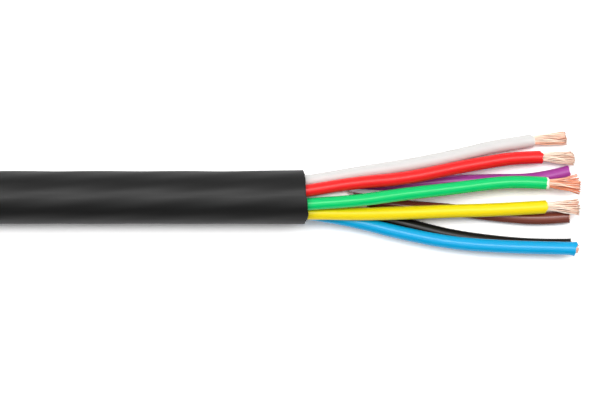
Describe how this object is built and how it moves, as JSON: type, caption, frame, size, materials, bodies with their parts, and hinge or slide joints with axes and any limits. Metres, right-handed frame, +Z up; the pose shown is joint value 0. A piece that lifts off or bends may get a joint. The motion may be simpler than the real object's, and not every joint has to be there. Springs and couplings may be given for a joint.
{
  "type": "speaker cable",
  "caption": "Straight cut length of round multi-core speaker cable: black jacket, coloured cores fanned out of one end, some stripped to bare fine-strand copper.",
  "frame": {"origin": "centre of the jacket's opened mouth, on the cable's axis", "axes": "+X along the cable towards the core tips, +Y to the side of the white core, +Z up from the table the cable lies on"},
  "size_m": [0.1627, 0.0309, 0.0134],
  "materials": {
    "jacket_pvc": "soft black PVC, satin",
    "filler_string": "white spun filler string, cut at a slant",
    "copper": null,
    "white_pvc": "white PVC core insulation, glossy",
    "red_pvc": "red PVC core insulation, glossy",
    "green_pvc": "green PVC core insulation, glossy",
    "yellow_pvc": "yellow PVC core insulation, glossy",
    "blue_pvc": "blue PVC core insulation, glossy",
    "black_pvc": "black PVC core insulation, glossy",
    "brown_pvc": "brown PVC core insulation, glossy",
    "violet_pvc": "violet PVC core insulation, glossy"
  },
  "bodies": {
    "root": {"jacket": "jacket_pvc", "filler": "filler_string", "white_insulation": "white_pvc", "red_insulation": "red_pvc", "green_insulation": "green_pvc", "yellow_insulation": "yellow_pvc", "blue_insulation": "blue_pvc", "black_insulation": "black_pvc", "brown_insulation": "brown_pvc", "violet_insulation": "violet_pvc", "white_conductor": "copper", "red_conductor": "copper", "green_conductor": "copper", "yellow_conductor": "copper", "blue_conductor": "copper", "black_conductor": "copper", "brown_conductor": "copper", "violet_conductor": "copper"}
  },
  "joints": []
}
